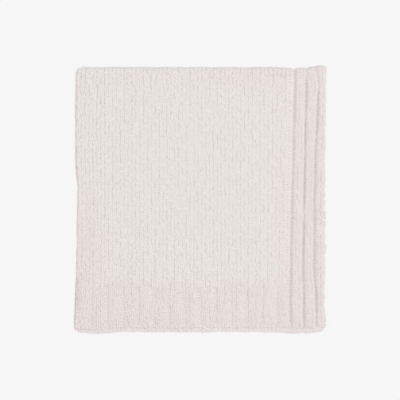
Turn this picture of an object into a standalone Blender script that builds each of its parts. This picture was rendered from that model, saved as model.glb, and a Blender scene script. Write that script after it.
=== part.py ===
"""Knit throw, folded in four and lying flat.

One knitted cloth with a plain field, a ribbed hem along each end and a ribbed border down
each side. It is folded first over its left edge, with the right side of the knit outwards,
and then over its top edge, so four layers lie on one another. The two folds are at -X and
+Y, the side borders end at +X and the hems at -Y.

Origin: on the surface that it lies on, under the middle of its outline.
"""
import math
from collections import namedtuple

import bmesh
import bpy

MM = 0.001

# The flat cloth: across from side edge to side edge, along from hem to hem.
CLOTH_WIDTH = 762 * MM
CLOTH_LENGTH = 803 * MM
CLOTH_THICKNESS = 4 * MM
LAYER_GAP = 0.7 * MM
EDGE_ROUNDING = 2.2 * MM
EDGE_TIP_SHARE = 0.32

# Grooves between the ribs. The hem's run from the left, the border's down the whole side.
HEM_GROOVES = 13
HEM_GROOVE_PITCH = 23.7 * MM
FIRST_GROOVE_X = -167 * MM
BORDER_GROOVE_X = (138.3 * MM, 158.9 * MM, 178 * MM)
GROOVE_WIDTH = 7 * MM
HEM_GROOVE_DEPTH = 1.1 * MM
BORDER_GROOVE_DEPTH = 1.7 * MM
RIB_CROWN = 0.5 * MM
HEM_DEPTH = 66 * MM
HEM_FADE = 10 * MM
BORDER_FADE = 46 * MM
BORDER_SHARE_AT_FOLD = 0.4

# The stack is fuller along its folds and lower along its free edges, and swells a little.
FOLD_FULLNESS = 1.0 * MM
FREE_EDGE_SAG = 0.9 * MM
FULLNESS_REACH = 70 * MM
SWELL_HEIGHT = 0.4 * MM
SWELL_ACROSS = 205 * MM
SWELL_ALONG = 250 * MM

# Plan radii of the outline's corners, and how far in from an edge the cloth moves with it.
FOLD_CORNER_RADIUS = 12 * MM
BORDER_CORNER_RADIUS = 6 * MM
HEM_CORNER_RADIUS = 9 * MM
CORNER_BLUNTNESS = 0.93
EDGE_REACH = 45 * MM
FOLD_LINE_REACH = 30 * MM

# Share of the half stack's height over which the lower pair's outline becomes the top pair's.
PAIR_BLEND = 0.3

# Spacing of the cross-sections between the hem and the fold.
TOP_STEP = 23 * MM
UNDER_STEP = 46 * MM
TURN_STEPS = 9
SIDE_TURN_STEPS = 6

# How the soft cloth lies, in mm. y and x are measured from the middle of the outline.
# top: the two top layers, under: the two layers below them.
LeftEdge = namedtuple("LeftEdge", "y top under")
LEFT_EDGE = (
    LeftEdge(-212, -192.4, -193.4),
    LeftEdge(-185, -193.6, -194.6),
    LeftEdge(-145, -190.9, -193.2),
    LeftEdge(-96, -190.4, -190.8),
    LeftEdge(-56, -189.4, -189.0),
    LeftEdge(14, -188.4, -189.0),
    LeftEdge(60, -191.6, -190.4),
    LeftEdge(142, -191.8, -190.6),
    LeftEdge(212, -190.4, -190.0),
)
RightEdge = namedtuple("RightEdge", "y top under")
RIGHT_EDGE = (
    RightEdge(-212, 189.4, 191.4),
    RightEdge(-188, 190.2, 193.4),
    RightEdge(-160, 188.6, 190.0),
    RightEdge(-130, 190.0, 189.4),
    RightEdge(-96, 190.8, 190.0),
    RightEdge(14, 190.2, 189.6),
    RightEdge(105, 191.2, 190.2),
    RightEdge(212, 192.4, 190.6),
)
BorderLean = namedtuple("BorderLean", "y first second third")
BORDER_LEAN = (
    BorderLean(-212, 138.6, 159.2, 178.4),
    BorderLean(-157, 138.3, 158.9, 177.6),
    BorderLean(-96, 138.8, 157.4, 174.2),
    BorderLean(-23, 140.2, 159.0, 174.4),
    BorderLean(60, 142.4, 160.4, 176.2),
    BorderLean(142, 144.2, 161.6, 179.8),
    BorderLean(172, 144.8, 162.4, 181.6),
    BorderLean(206, 145.5, 163.8, 176.5),
)
HemLine = namedtuple("HemLine", "x drop")
HEM_LINE = (
    HemLine(-192, 0.6),
    HemLine(-155, 1.9),
    HemLine(-118, -0.8),
    HemLine(-40, 0.1),
    HemLine(45, -0.6),
    HemLine(95, -0.2),
    HemLine(155, 1.7),
    HemLine(192, -0.8),
)
FoldLine = namedtuple("FoldLine", "x drop")
FOLD_LINE = (
    FoldLine(-192, 0.0),
    FoldLine(15, 0.4),
    FoldLine(110, 0.2),
    FoldLine(140, 2.0),
    FoldLine(157, 1.2),
    FoldLine(170, -0.4),
    FoldLine(184, -2.2),
    FoldLine(192, -1.4),
)

# Heights of the layers' middles above the plane between the lower pair and the top pair.
HALF_THICKNESS = CLOTH_THICKNESS / 2
INNER_LAYER = LAYER_GAP / 2 + HALF_THICKNESS
OUTER_LAYER = INNER_LAYER + LAYER_GAP + CLOTH_THICKNESS
HALF_STACK = OUTER_LAYER + HALF_THICKNESS

# The turn over the left edge, and the outline that follows from it.
SIDE_TURN_RADIUS = (OUTER_LAYER - INNER_LAYER) / 2
SIDE_TURN_LENGTH = math.pi * SIDE_TURN_RADIUS
FLAT_WIDTH = (CLOTH_WIDTH - SIDE_TURN_LENGTH) / 2
RIGHT_X = (FLAT_WIDTH + SIDE_TURN_RADIUS + HALF_THICKNESS) / 2
SIDE_TURN_X = RIGHT_X - FLAT_WIDTH

# across: place on the cloth from the top layer's side edge, round the left fold, to the
# inner layer's. face: 1 on the knit's right side, -1 on its back. rib: 1 crown, -1 groove.
Knot = namedtuple("Knot", "across face rib band")

# from_hem: share of the run from hem to fold. angle: how far round the fold it lies.
Station = namedtuple("Station", "run from_hem angle")


def smooth(value):
    """Ease from 0 to 1 while value goes from 0 to 1."""
    held = min(max(value, 0.0), 1.0)
    return held * held * (3 - 2 * held)


def read_table(rows, column, place):
    """Ease a column of a table between the two rows around a place in metres."""
    place = min(max(place / MM, rows[0][0]), rows[-1][0])
    for low, high in zip(rows, rows[1:]):
        if place <= high[0]:
            share = smooth((place - low[0]) / (high[0] - low[0]))
            start = getattr(low, column)
            return (start + (getattr(high, column) - start) * share) * MM


def flat_length(layer):
    """Length of a layer from its hem to the start of its turn over the top edge."""
    return (CLOTH_LENGTH - math.pi * layer) / 2


FRONT_Y = -(flat_length(INNER_LAYER) + HALF_STACK) / 2
TURN_Y = FRONT_Y + flat_length(INNER_LAYER)
BACK_Y = TURN_Y + HALF_STACK


def rib_knots():
    """Points of the ribs on the outer layers: groove edges, groove bottoms and crowns."""
    places = [(FIRST_GROOVE_X + i * HEM_GROOVE_PITCH, "hem") for i in range(HEM_GROOVES)]
    places += [(x, "border") for x in BORDER_GROOVE_X]
    knots = []
    for x, band in places:
        knots.append(Knot(RIGHT_X - x - GROOVE_WIDTH / 2, 1, 0, band))
        knots.append(Knot(RIGHT_X - x, 1, -1, band))
        knots.append(Knot(RIGHT_X - x + GROOVE_WIDTH / 2, 1, 0, band))
    for (x, band), (next_x, _) in zip(places, places[1:]):
        knots.append(Knot(RIGHT_X - (x + next_x) / 2, 1, 1, band))
    return knots


def outline_marks(ribs):
    """Rib points nearest to where the hem's line or the fold's line changes, by across."""
    wanted = [RIGHT_X - row.x * MM for row in HEM_LINE[1:-1] + FOLD_LINE[1:-1]]
    places = [knot.across for knot in ribs]
    return sorted({min(places, key=lambda place: abs(place - mark)) for mark in wanted})


def section_knots():
    """The section's points on the knit's right side and on its back, both by across."""
    edge = [0.0, EDGE_ROUNDING / 3, EDGE_ROUNDING]
    far_edge = [CLOTH_WIDTH - place for place in edge]
    turn = [FLAT_WIDTH + SIDE_TURN_LENGTH * i / SIDE_TURN_STEPS for i in range(SIDE_TURN_STEPS + 1)]
    ribs = rib_knots()
    outer = outline_marks(ribs)
    inner = [CLOTH_WIDTH - place for place in outer]
    plain = edge + turn + inner + far_edge
    right_side = sorted(ribs + [Knot(place, 1, 0, "") for place in plain])
    back = sorted(Knot(place, -1, 0, "") for place in edge + outer + turn[::2] + inner + far_edge)
    return right_side, back


def run_stations(run, step, angle):
    """Cross-sections from the hem up to the fold, close together in the hem."""
    length = flat_length(OUTER_LAYER)
    places = [0.0, EDGE_ROUNDING / 3, EDGE_ROUNDING, HEM_CORNER_RADIUS / 2, HEM_DEPTH / 4]
    places += [HEM_DEPTH / 2, HEM_DEPTH - HEM_FADE, HEM_DEPTH]
    steps = round((length - HEM_DEPTH) / step)
    places += [HEM_DEPTH + (length - HEM_DEPTH) * i / steps for i in range(1, steps)]
    return [Station(run, place / length, angle) for place in places]


def stations():
    """Cross-sections from the top pair's hem, round the fold, to the lower pair's hem."""
    top = run_stations("top", TOP_STEP, 0.0)
    turn = [Station("turn", 1.0, math.pi * i / TURN_STEPS) for i in range(TURN_STEPS + 1)]
    under = run_stations("under", UNDER_STEP, math.pi)
    return top + turn + under[::-1]


def first_fold(across):
    """Middle of the cloth folded over its left edge: x, height, and the way it faces."""
    if across <= FLAT_WIDTH:
        return RIGHT_X - across, OUTER_LAYER, 0.0, 1.0
    if across >= FLAT_WIDTH + SIDE_TURN_LENGTH:
        return RIGHT_X - (CLOTH_WIDTH - across), INNER_LAYER, 0.0, -1.0
    angle = (across - FLAT_WIDTH) / SIDE_TURN_RADIUS
    face_x, face_up = -math.sin(angle), math.cos(angle)
    x = SIDE_TURN_X + SIDE_TURN_RADIUS * face_x
    return x, (OUTER_LAYER + INNER_LAYER) / 2 + SIDE_TURN_RADIUS * face_up, face_x, face_up


def rounded(distance):
    """Share of the cloth's thickness left at a distance inside its rounded edge."""
    outside = 1 - min(distance / EDGE_ROUNDING, 1.0)
    return max(EDGE_TIP_SHARE, math.sqrt(1 - outside ** 2))


def rib_height(knot, station):
    """How far a rib's crown stands up, or its groove lies down, from the plain knit."""
    if knot.rib > 0 and station.run != "top":
        return 0.0
    length = flat_length(OUTER_LAYER)
    if knot.band == "hem":
        into_field = station.from_hem * length - (HEM_DEPTH - HEM_FADE)
        held = 1 - smooth(into_field / HEM_FADE)
        depth = HEM_GROOVE_DEPTH
    else:
        to_fold = (1 - station.from_hem) * length
        held = 1 - (1 - BORDER_SHARE_AT_FOLD) * (1 - smooth(to_fold / BORDER_FADE))
        depth = BORDER_GROOVE_DEPTH
    return held * (RIB_CROWN if knot.rib > 0 else -depth)


def folded_point(knot, station):
    """Where a point of the cloth lies once both folds are made evenly."""
    x, layer, face_x, face_up = first_fold(knot.across)
    length = flat_length(layer)
    share = rounded(min(knot.across, CLOTH_WIDTH - knot.across))
    if station.run != "turn":
        share = min(share, rounded(station.from_hem * length))
    lift = knot.face * HALF_THICKNESS
    if knot.rib:
        lift += rib_height(knot, station)
    height = layer + face_up * lift * share
    y = TURN_Y - (1 - station.from_hem) * length + height * math.sin(station.angle)
    return x + face_x * lift * share, y, HALF_STACK + height * math.cos(station.angle)


def draw_in(distance, radius):
    """How far an outline steps in at a distance from the end of its rounded corner."""
    outside = CORNER_BLUNTNESS * (1 - min(max(distance / radius, 0.0), 1.0))
    return radius * (1 - math.sqrt(1 - outside ** 2))


def lying_places(y, z):
    """Where the left edge, the border's grooves and the right edge lie at a y and height."""
    top = smooth(0.5 + (z / HALF_STACK - 1) / PAIR_BLEND)
    ends = []
    for rows in (LEFT_EDGE, RIGHT_EDGE):
        under = read_table(rows, "under", y)
        ends.append(under + top * (read_table(rows, "top", y) - under))
    hem_corner = draw_in(y - FRONT_Y, HEM_CORNER_RADIUS)
    left = ends[0] + hem_corner + draw_in(BACK_Y - y, FOLD_CORNER_RADIUS)
    right = ends[1] - hem_corner - draw_in(BACK_Y - y, BORDER_CORNER_RADIUS)
    grooves = [read_table(BORDER_LEAN, name, y) for name in ("first", "second", "third")]
    return left, grooves, right


def settle(x, y, z):
    """Move a point of the even stack to where the soft cloth lies."""
    left, grooves, right = lying_places(y, z)
    still = (-RIGHT_X + EDGE_REACH, BORDER_GROOVE_X[0] - EDGE_REACH)
    even = (-RIGHT_X, *still, *BORDER_GROOVE_X, RIGHT_X)
    lying = (left, *still, *grooves, right)
    section = max(i for i in range(len(even) - 1) if i == 0 or x >= even[i])
    share = (x - even[section]) / (even[section + 1] - even[section])
    lying_x = lying[section] + share * (lying[section + 1] - lying[section])
    near_hem = 1 - smooth((y - FRONT_Y) / HEM_DEPTH)
    near_fold = 1 - smooth((BACK_Y - y) / FOLD_LINE_REACH)
    hem_drop = near_hem * read_table(HEM_LINE, "drop", x)
    fold_drop = near_fold * read_table(FOLD_LINE, "drop", x)
    lying_y = y - hem_drop - fold_drop
    return lying_x, lying_y, z * (1 + loft(x, y) / (2 * HALF_STACK))


def loft(x, y):
    """How much higher than even the stack's top is over a place in the plan."""
    to_fold = min(x + RIGHT_X, BACK_Y - y)
    to_free_edge = min(RIGHT_X - x, y - FRONT_Y)
    full = FOLD_FULLNESS * (1 - smooth(to_fold / FULLNESS_REACH))
    sag = FREE_EDGE_SAG * (1 - smooth(to_free_edge / FULLNESS_REACH))
    wave_across = math.sin(math.tau * x / SWELL_ACROSS)
    wave_along = math.cos(math.tau * y / SWELL_ALONG)
    return full - sag + SWELL_HEIGHT * wave_across * wave_along


def add_edge_faces(mesh, ring, right_side, back):
    """Close the cloth along a hem: a face for each pair of neighbours on its back."""
    for i in range(len(back) - 1):
        low, high = back[i].across, back[i + 1].across
        corners = [vert for vert, knot in zip(ring, right_side) if low <= knot.across <= high]
        mesh.faces.new(corners + [ring[-2 - i], ring[-1 - i]])


def throw_mesh():
    """The folded cloth as one closed mesh, swept through its cross-sections."""
    right_side, back = section_knots()
    mesh = bmesh.new()
    rings = []
    for station in stations():
        knots = right_side + back[::-1]
        rings.append([mesh.verts.new(settle(*folded_point(knot, station))) for knot in knots])
    for ring, following in zip(rings, rings[1:]):
        for i in range(len(ring)):
            mesh.faces.new((ring[i - 1], ring[i], following[i], following[i - 1]))
    add_edge_faces(mesh, rings[0], right_side, back)
    add_edge_faces(mesh, rings[-1], right_side, back)
    centre_on_origin(mesh)
    bmesh.ops.triangulate(mesh, faces=mesh.faces[:])
    bmesh.ops.recalc_face_normals(mesh, faces=mesh.faces[:])
    return mesh


def centre_on_origin(mesh):
    """Put the middle of the outline over the origin and the lowest face on the surface."""
    lowest = [min(vert.co[axis] for vert in mesh.verts) for axis in range(3)]
    highest = [max(vert.co[axis] for vert in mesh.verts) for axis in range(3)]
    middle = ((lowest[0] + highest[0]) / 2, (lowest[1] + highest[1]) / 2, lowest[2])
    bmesh.ops.translate(mesh, verts=mesh.verts[:], vec=[-value for value in middle])


def linear_colour(code):
    """Linear colour of an sRGB hex code."""
    shares = [int(code[i:i + 2], 16) / 255 for i in (1, 3, 5)]
    linear = [((share + 0.055) / 1.055) ** 2.4 for share in shares]
    return (*linear, 1.0)


def knit_material():
    """Soft off-white chenille knit."""
    material = bpy.data.materials.new("chenille_knit")
    material.use_nodes = True
    shader = material.node_tree.nodes["Principled BSDF"]
    shader.inputs["Base Color"].default_value = linear_colour("#E6E1DD")
    shader.inputs["Roughness"].default_value = 0.95
    shader.inputs["Metallic"].default_value = 0.0
    shader.inputs["Sheen Weight"].default_value = 0.4
    return material


def add_throw():
    """Add the throw to the scene as one object."""
    mesh = throw_mesh()
    data = bpy.data.meshes.new("throw")
    mesh.to_mesh(data)
    mesh.free()
    data.materials.append(knit_material())
    data.shade_smooth()
    data.set_sharp_from_angle(angle=math.radians(50))
    throw = bpy.data.objects.new("throw", data)
    bpy.context.scene.collection.objects.link(throw)


for old in list(bpy.data.objects):
    bpy.data.objects.remove(old)
add_throw()
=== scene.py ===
# %% [markdown]
# # A folded knit throw
#
# The real object is one piece of cloth, knitted by machine from soft off-white chenille
# yarn: a plain field, a ribbed hem along each end and a ribbed border down each side. It is
# folded in four, first over its left edge and then over its top edge, and lies flat under
# the camera.
#
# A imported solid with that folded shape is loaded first. It fixes the size and the place of
# everything that follows. This script dresses it in stitches, yarn and light.

import math
from collections import namedtuple

import bpy
import numpy as np
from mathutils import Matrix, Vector


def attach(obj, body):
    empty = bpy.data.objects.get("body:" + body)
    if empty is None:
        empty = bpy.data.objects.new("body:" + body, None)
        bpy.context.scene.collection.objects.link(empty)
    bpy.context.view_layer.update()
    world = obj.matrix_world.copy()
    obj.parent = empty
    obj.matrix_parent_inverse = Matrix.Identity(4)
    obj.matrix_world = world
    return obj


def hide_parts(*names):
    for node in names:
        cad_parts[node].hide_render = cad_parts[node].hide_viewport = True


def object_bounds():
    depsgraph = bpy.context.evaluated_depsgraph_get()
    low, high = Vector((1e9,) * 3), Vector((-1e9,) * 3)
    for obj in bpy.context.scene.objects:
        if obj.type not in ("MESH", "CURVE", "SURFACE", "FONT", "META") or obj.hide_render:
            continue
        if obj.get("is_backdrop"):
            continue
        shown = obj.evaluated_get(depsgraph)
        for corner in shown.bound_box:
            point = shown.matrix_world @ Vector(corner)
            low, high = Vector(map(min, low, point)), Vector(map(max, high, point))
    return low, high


MM = 0.001
np.set_printoptions(precision=2, suppress=True)

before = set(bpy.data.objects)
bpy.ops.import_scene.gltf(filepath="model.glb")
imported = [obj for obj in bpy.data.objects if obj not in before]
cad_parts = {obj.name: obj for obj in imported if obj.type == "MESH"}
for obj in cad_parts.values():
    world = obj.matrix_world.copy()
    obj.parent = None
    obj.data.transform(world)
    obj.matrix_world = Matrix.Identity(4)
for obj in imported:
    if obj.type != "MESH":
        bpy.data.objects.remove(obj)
solid_box = [list(corner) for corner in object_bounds()]
solid_size = [high - low for low, high in zip(*solid_box)]
print("solid box in mm:", [round(side / MM, 1) for side in solid_size])

# %% [markdown]
# ## The cloth's sizes
#
# A knitter thinks of a throw as a flat cloth with so many wales (columns of stitches) and
# courses (rows). The folded shape then follows from the thickness of the cloth and from the
# two folds. So the sizes here are those of the flat cloth, and nothing is placed by eye that
# the folds can work out.
#
# In this script *across* runs over the flat cloth from one side edge to the other, *along*
# from one hem to the other, and *lift* is the height above the middle of the cloth, towards
# the right side of the knit.

# %% Sizes of the flat cloth
CLOTH_WIDTH = 762 * MM
CLOTH_LENGTH = 803 * MM
CLOTH_THICKNESS = 4 * MM
LAYER_GAP = 0.7 * MM
HEM_DEPTH = 66 * MM
HEM_GROOVES = 13
HEM_GROOVE_PITCH = 23.7 * MM
FIRST_GROOVE_X = -167 * MM
BORDER_GROOVE_X = (138.3 * MM, 158.9 * MM, 178 * MM)
COURSE_PITCH = 4.58 * MM
WALES_PER_RIB = 4
print("courses in the whole cloth:", round(CLOTH_LENGTH / COURSE_PITCH))

# %% [markdown]
# ## How the soft cloth lies
#
# Four layers of soft knit never make a perfect rectangle. The left fold wanders, the side
# border leans in towards the middle of its height, the hem flares at its corners, and a
# lower layer peeks out at the bottom right. Short tables say where each edge lies, a row for
# each place along it, and a reader eases from one row to the next. The last two tables say
# how far the hem and the far fold drop towards the viewer at each x.

# %% Tables of the folded sides, in mm
def make_table(columns, *rows):
    """Rows of numbers under named columns."""
    Row = namedtuple("Row", columns)
    return [Row(*row) for row in rows]


LEFT_EDGE = make_table(
    "y top under",
    (-212, -192.4, -193.4),
    (-185, -193.6, -194.6),
    (-145, -190.9, -193.2),
    (-96, -190.4, -190.8),
    (-56, -189.4, -189.0),
    (14, -188.4, -189.0),
    (60, -191.6, -190.4),
    (142, -191.8, -190.6),
    (212, -190.4, -190.0),
)
RIGHT_EDGE = make_table(
    "y top under",
    (-212, 189.4, 191.4),
    (-188, 190.2, 193.4),
    (-160, 188.6, 190.0),
    (-130, 190.0, 189.4),
    (-96, 190.8, 190.0),
    (14, 190.2, 189.6),
    (105, 191.2, 190.2),
    (212, 192.4, 190.6),
)
print("rows for the two sides:", len(LEFT_EDGE), len(RIGHT_EDGE))

# %% Tables of the border's grooves, the hem and the far fold, in mm
BORDER_LEAN = make_table(
    "y first second third",
    (-212, 138.2, 158.9, 178.0),
    (-157, 137.9, 158.6, 177.2),
    (-96, 138.4, 157.1, 173.8),
    (-23, 139.8, 158.7, 174.0),
    (60, 142.0, 160.1, 175.8),
    (142, 143.8, 161.3, 179.4),
    (172, 144.4, 162.1, 181.2),
    (206, 145.1, 163.5, 176.1),
)
HEM_LINE = make_table(
    "x drop",
    (-192, 0.6),
    (-155, 1.9),
    (-118, -0.8),
    (-40, 0.1),
    (45, -0.6),
    (95, -0.2),
    (155, 1.7),
    (192, -0.8),
)
FOLD_LINE = make_table(
    "x drop",
    (-192, 0.0),
    (15, 0.4),
    (110, 0.2),
    (140, 2.0),
    (157, 1.2),
    (170, -0.4),
    (184, -2.2),
    (192, -1.4),
)
print("rows for the grooves, hem and fold:", len(BORDER_LEAN), len(HEM_LINE), len(FOLD_LINE))


# %% Read between the rows
def smooth(value):
    """Ease from 0 to 1 while value goes from 0 to 1."""
    held = np.clip(value, 0.0, 1.0)
    return held * held * (3 - 2 * held)


def read_table(rows, column, place):
    """Ease a column of a table between the rows around each place in metres."""
    keys = np.array([row[0] for row in rows]) * MM
    values = np.array([getattr(row, column) for row in rows]) * MM
    section = np.clip(np.searchsorted(keys, place) - 1, 0, len(rows) - 2)
    share = smooth((place - keys[section]) / (keys[section + 1] - keys[section]))
    return values[section] + share * (values[section + 1] - values[section])


left_ends = read_table(LEFT_EDGE, "top", np.array([-0.2, 0.0, 0.2]))
print("left fold at the hem, middle and far end, in mm:", left_ends / MM)

# %% [markdown]
# ## Folding points of the cloth
#
# Everything that follows is drawn on the flat cloth and then folded point by point. That
# keeps the stitches on the cloth wherever it goes: over the flat top, round the folds and
# along the underside. The cloth turns over its left edge round a small half circle, and the
# pair of layers that results turns over the top edge round a larger one.

# %% Sizes that follow from the folds
HALF_THICKNESS = CLOTH_THICKNESS / 2
INNER_LAYER = LAYER_GAP / 2 + HALF_THICKNESS
OUTER_LAYER = INNER_LAYER + LAYER_GAP + CLOTH_THICKNESS
HALF_STACK = OUTER_LAYER + HALF_THICKNESS
SIDE_TURN_RADIUS = (OUTER_LAYER - INNER_LAYER) / 2
SIDE_TURN_LENGTH = math.pi * SIDE_TURN_RADIUS
FLAT_WIDTH = (CLOTH_WIDTH - SIDE_TURN_LENGTH) / 2
RIGHT_X = (FLAT_WIDTH + SIDE_TURN_RADIUS + HALF_THICKNESS) / 2
SIDE_TURN_X = RIGHT_X - FLAT_WIDTH


def flat_length(layer):
    """Length of a layer from its hem to the start of its turn over the top edge."""
    return (CLOTH_LENGTH - math.pi * layer) / 2


LIP_LENGTH = flat_length(INNER_LAYER) - flat_length(OUTER_LAYER)
FRONT_Y = -(flat_length(INNER_LAYER) + HALF_STACK) / 2
TURN_Y = FRONT_Y + flat_length(INNER_LAYER)
BACK_Y = TURN_Y + HALF_STACK
print("stack height in mm:", round(2 * HALF_STACK / MM, 1))
print("inner hems end past the outer ones by, in mm:", round(LIP_LENGTH / MM, 1))


# %% The two folds
def first_fold(across):
    """Middle of the cloth folded over its left edge: x, height, and the way it faces."""
    angle = np.clip((across - FLAT_WIDTH) / SIDE_TURN_RADIUS, 0.0, math.pi)
    face_x, face_up = -np.sin(angle), np.cos(angle)
    height = (OUTER_LAYER + INNER_LAYER) / 2 + SIDE_TURN_RADIUS * face_up
    x_turn = SIDE_TURN_X + SIDE_TURN_RADIUS * face_x
    past_turn = np.maximum(across - FLAT_WIDTH - SIDE_TURN_LENGTH, 0.0)
    x = x_turn + np.maximum(FLAT_WIDTH - across, 0.0) + past_turn
    return x, height, face_x, face_up


def fold(across, along, lift):
    """Place points of the flat cloth in an evenly folded stack."""
    x, layer, face_x, face_up = first_fold(across)
    height = layer + face_up * lift
    into_turn = along - flat_length(layer)
    angle = np.clip(into_turn / layer, 0.0, math.pi)
    past_turn = np.maximum(into_turn - math.pi * layer, 0.0)
    y = TURN_Y + np.minimum(into_turn, 0.0) - past_turn + height * np.sin(angle)
    return x + face_x * lift, y, HALF_STACK + height * np.cos(angle)


far_left = np.ravel(fold(np.array([CLOTH_WIDTH / 2]), np.array([CLOTH_LENGTH / 2]), np.zeros(1)))
print("the middle of the cloth folds into the far left corner:", far_left / MM)

# %% [markdown]
# ## Letting the stack settle
#
# The even stack is then moved as a whole to where soft cloth lies. Each move depends only on
# a point's place, never on its layer, so the layers can't pass through one another. The stack
# is fuller along its folds and lower along its free edges.

# %% Where the sides and grooves lie
FOLD_CORNER_RADIUS = 12 * MM
BORDER_CORNER_RADIUS = 6 * MM
HEM_CORNER_RADIUS = 9 * MM
CORNER_BLUNTNESS = 0.93
PAIR_BLEND = 0.3


def draw_in(distance, radius):
    """How far an outline steps in at a distance from the end of its rounded corner."""
    outside = CORNER_BLUNTNESS * (1 - np.clip(distance / radius, 0.0, 1.0))
    return radius * (1 - np.sqrt(1 - outside ** 2))


def lying_places(y, z):
    """Where the left edge, the border's grooves and the right edge lie at a y and height."""
    top = smooth(0.5 + (z / HALF_STACK - 1) / PAIR_BLEND)
    ends = []
    for rows in (LEFT_EDGE, RIGHT_EDGE):
        under = read_table(rows, "under", y)
        ends.append(under + top * (read_table(rows, "top", y) - under))
    hem_corner = draw_in(y - FRONT_Y, HEM_CORNER_RADIUS)
    left = ends[0] + hem_corner + draw_in(BACK_Y - y, FOLD_CORNER_RADIUS)
    right = ends[1] - hem_corner - draw_in(BACK_Y - y, BORDER_CORNER_RADIUS)
    grooves = (read_table(BORDER_LEAN, name, y) for name in ("first", "second", "third"))
    return [left, *grooves, right]


half_way_up = np.ravel(lying_places(np.zeros(1), np.array([2 * HALF_STACK])))
print("left side, grooves and right side half way up:", half_way_up / MM)

# %% How full the stack stands
FOLD_FULLNESS = 1.0 * MM
FREE_EDGE_SAG = 0.9 * MM
FULLNESS_REACH = 70 * MM
SWELL_HEIGHT = 0.4 * MM
SWELL_ACROSS = 205 * MM
SWELL_ALONG = 250 * MM


def loft(x, y):
    """How much higher than even the stack's top is over a place in the plan."""
    to_fold = np.minimum(x + RIGHT_X, BACK_Y - y)
    to_free_edge = np.minimum(RIGHT_X - x, y - FRONT_Y)
    full = FOLD_FULLNESS * (1 - smooth(to_fold / FULLNESS_REACH))
    sag = FREE_EDGE_SAG * (1 - smooth(to_free_edge / FULLNESS_REACH))
    swell = np.sin(math.tau * x / SWELL_ACROSS) * np.cos(math.tau * y / SWELL_ALONG)
    return full - sag + SWELL_HEIGHT * swell


side_lofts = loft(np.array([-RIGHT_X, RIGHT_X]), np.zeros(2))
print("loft at the left fold and the right edge, in mm:", side_lofts / MM)

# %% Settle the stack into its uneven outline
EDGE_REACH = 45 * MM
FOLD_LINE_REACH = 30 * MM


def settle(x, y, z):
    """Move points of the even stack to where the soft cloth lies."""
    still = (-RIGHT_X + EDGE_REACH, BORDER_GROOVE_X[0] - EDGE_REACH)
    even = np.array([-RIGHT_X, *still, *BORDER_GROOVE_X, RIGHT_X])
    left, *rest = lying_places(y, z)
    lying = np.stack([left, *(np.full_like(x, place) for place in still), *rest])
    section = np.clip(np.searchsorted(even, x) - 1, 0, len(even) - 2)
    share = (x - even[section]) / (even[section + 1] - even[section])
    low = np.take_along_axis(lying, section[None], axis=0)[0]
    high = np.take_along_axis(lying, section[None] + 1, axis=0)[0]
    near_hem = 1 - smooth((y - FRONT_Y) / HEM_DEPTH)
    near_fold = 1 - smooth((BACK_Y - y) / FOLD_LINE_REACH)
    hem_drop = near_hem * read_table(HEM_LINE, "drop", x)
    fold_drop = near_fold * read_table(FOLD_LINE, "drop", x)
    lying_y = y - hem_drop - fold_drop
    return low + share * (high - low), lying_y, z * (1 + loft(x, y) / (2 * HALF_STACK))


far_right = np.ravel(settle(np.array([RIGHT_X]), np.array([BACK_Y]), np.array([HALF_STACK])))
print("far right corner once settled, in mm:", far_right / MM)

# %% [markdown]
# ## The crease, the soft hem and the underside
#
# A shallow, wavy crease crosses the top layer a little left of its middle, where the cloth
# was once folded smaller. It is a soft trough that fades at both ends. The top pair's hem
# sinks a little, as soft cloth does where nothing holds it up. The lip of the layer under it
# swells up to meet it and tucks in below, so no dark gap shows. Near the hem the left fold
# is lower and rounder.
#
# Nothing may go below the surface that the throw rests on, so the underside's stitches are
# pressed softly flat: heights run out towards zero without reaching it. Faces that all ended
# in one plane would show as black specks.

# %% Press the crease into the top layer
CREASE_LEFT, CREASE_RIGHT = -78 * MM, 4 * MM
CREASE_START_SHARE, CREASE_END_SHARE = 0.2, 0.5
CREASE_Y = 19.5 * MM
CREASE_WIDTH = 3.2 * MM
CREASE_DEPTH = 1.0 * MM
CREASE_WAVE = 1.6 * MM
CREASE_WAVELENGTH = 34 * MM


def crease_depth(x, y):
    """How deep the crease is over a place in the plan."""
    run = (x - CREASE_LEFT) / (CREASE_RIGHT - CREASE_LEFT)
    held = smooth(run / CREASE_START_SHARE) * smooth((1 - run) / CREASE_END_SHARE)
    line = CREASE_Y + CREASE_WAVE * np.sin(math.tau * x / CREASE_WAVELENGTH)
    return CREASE_DEPTH * held * np.exp(-((y - line) / CREASE_WIDTH) ** 2)


crease_depths = crease_depth(np.linspace(CREASE_LEFT, CREASE_RIGHT, 5), np.full(5, CREASE_Y))
print("depth at five places along the crease, in mm:", crease_depths / MM)

# %% Press the hem, the left fold and the underside
HEM_EDGE_Y = FRONT_Y + LIP_LENGTH
HEM_SINK = 1.0 * MM
HEM_SINK_REACH = 13 * MM
LIP_RISE = 2.6 * MM
LIP_RISE_REACH = 1.5 * MM
LIP_TUCK = 0.5 * MM
LEFT_SAG = 4.2 * MM
LEFT_SAG_REACH = 10 * MM
LEFT_SAG_Y = -150 * MM
LEFT_SAG_LENGTH = 30 * MM
UNDERSIDE_SOFT = 0.7 * MM
# Heights as shares of half the stack, and how softly each one begins.
TOP_PAIR_START, TOP_PAIR_BLEND = 1.1, 0.3
TOP_LAYER_START, TOP_LAYER_BLEND = 1.45, 0.12


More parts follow.
